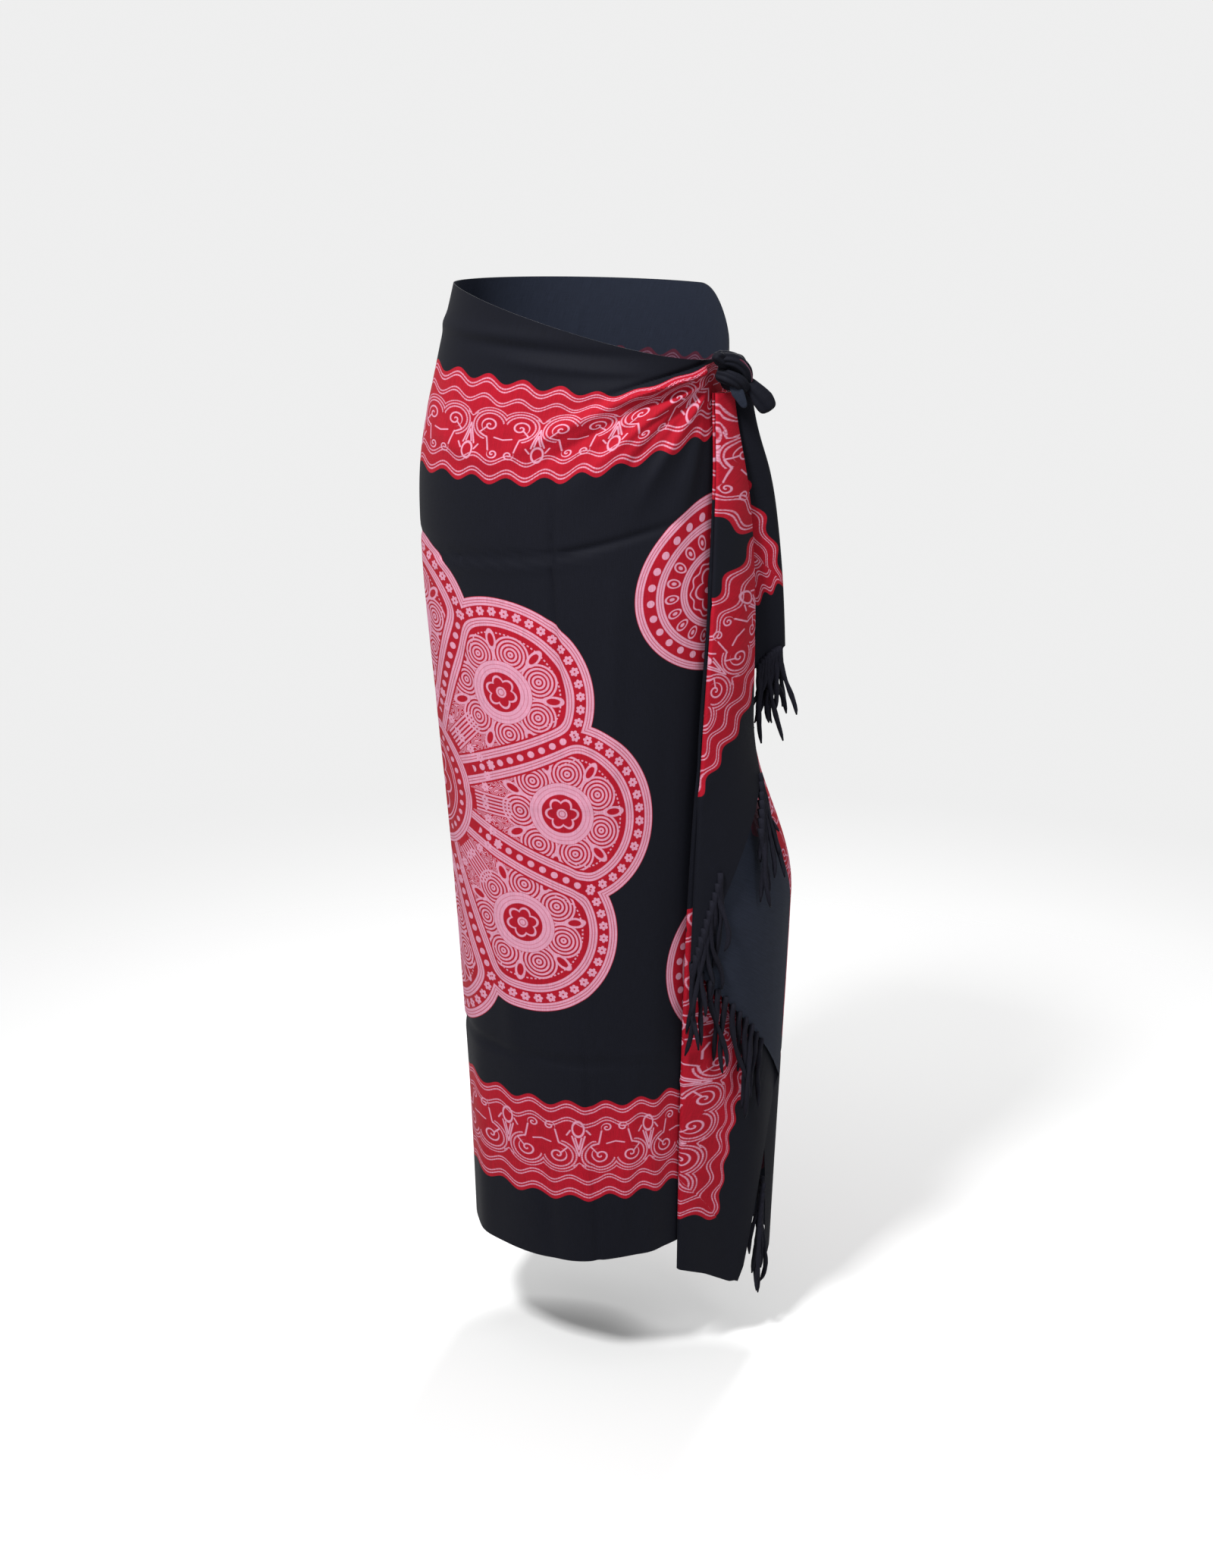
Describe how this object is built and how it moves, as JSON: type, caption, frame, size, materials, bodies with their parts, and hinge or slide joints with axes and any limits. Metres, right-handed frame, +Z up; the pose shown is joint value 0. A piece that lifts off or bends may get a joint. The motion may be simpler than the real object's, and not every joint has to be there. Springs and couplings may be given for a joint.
{
  "type": "sarong",
  "caption": "Wrapped sarong: one printed rectangular cloth round the hips, knotted at the side, with its fringed ends hanging in folds.",
  "frame": {"origin": "middle of the waist opening, at the height of the waist edge at the front, where the wearer's waist holds the sarong", "axes": "+Z up, -Y the way the wearer faces, +X to the wearer's left, where the knot is"},
  "size_m": [0.434, 0.2916, 1.1568],
  "materials": {
    "batik_cloth": "soft printed rayon, matt with a faint sheen",
    "fringe": "twisted black yarn"
  },
  "bodies": {
    "root": {"wrap_front": "batik_cloth", "wrap_back": "batik_cloth", "tail_front": "batik_cloth", "tail_back": "batik_cloth", "knot": "batik_cloth", "fringe_front": "fringe", "fringe_back": "fringe"}
  },
  "joints": []
}
